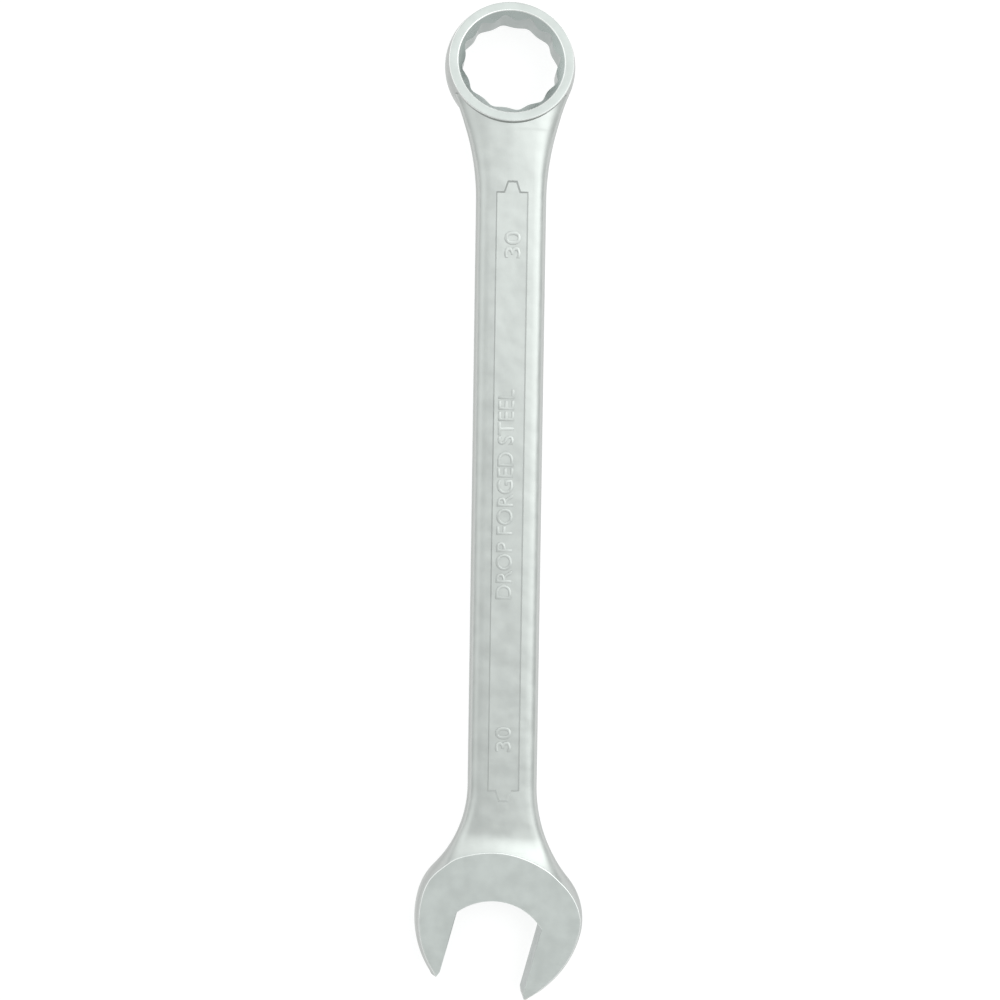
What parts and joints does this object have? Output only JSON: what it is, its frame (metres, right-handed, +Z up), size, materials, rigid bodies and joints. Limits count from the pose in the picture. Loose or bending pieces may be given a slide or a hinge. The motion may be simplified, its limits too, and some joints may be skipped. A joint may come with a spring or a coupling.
{
  "type": "combination wrench",
  "caption": "Forged combination wrench with an open jaw turned 15 degrees at one end and a cranked twelve-point ring for the same hexagon at the other",
  "frame": {"origin": "the middle of the wrench's box, at table height: Z = 0 is the table that it lies on", "axes": "+Y runs along the shank towards the ring, +Z is up, +X is to the right with the ring away from the reader"},
  "size_m": [0.059, 0.3472, 0.0218],
  "materials": {
    "satin_chrome": "satin chrome plate over a forged and ground steel surface"
  },
  "bodies": {
    "root": {"box_end": "satin_chrome", "shank": "satin_chrome", "open_end": "satin_chrome"}
  },
  "joints": []
}
